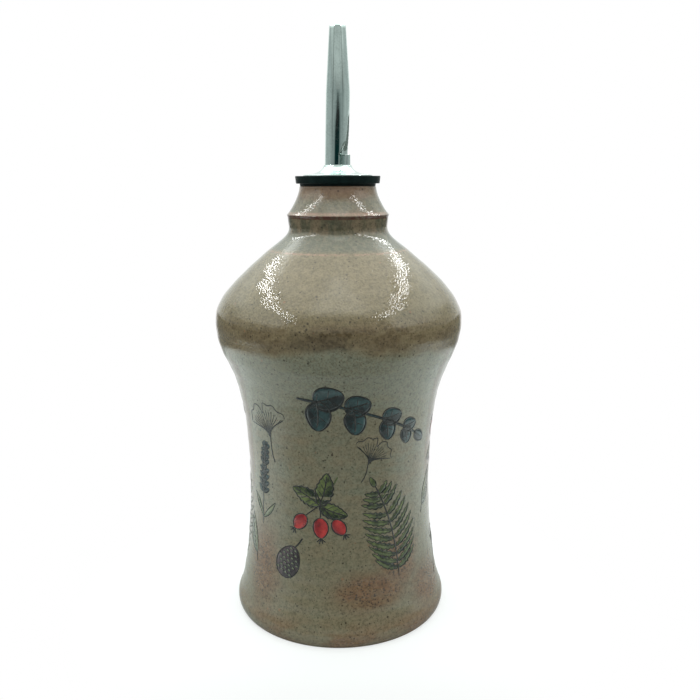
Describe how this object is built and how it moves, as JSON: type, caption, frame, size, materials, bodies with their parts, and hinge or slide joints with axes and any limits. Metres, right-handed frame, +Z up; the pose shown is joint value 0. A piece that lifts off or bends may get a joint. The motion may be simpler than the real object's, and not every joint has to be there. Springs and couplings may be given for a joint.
{
  "type": "oil dispenser",
  "caption": "Waisted stoneware bottle with a round belly and ridged neck, closed by a ribbed rubber stopper with a flared chrome collar, a tapered pouring spout and a small air tube beside it.",
  "frame": {"origin": "centre of the foot, on the surface that the bottle stands on", "axes": "+Z up along the bottle's axis, +X to the side where the air tube stands, -Y to the front"},
  "size_m": [0.1022, 0.1022, 0.2404],
  "materials": {
    "stoneware": "grey-brown speckled stoneware, satin below and glossy on the shoulder",
    "stopper_rubber": "black, satin",
    "bright_metal": "polished chrome plate"
  },
  "bodies": {
    "root": {"bottle": "stoneware", "stopper": "stopper_rubber", "collar": "bright_metal", "spout": "bright_metal", "vent_tube": "bright_metal"}
  },
  "joints": []
}
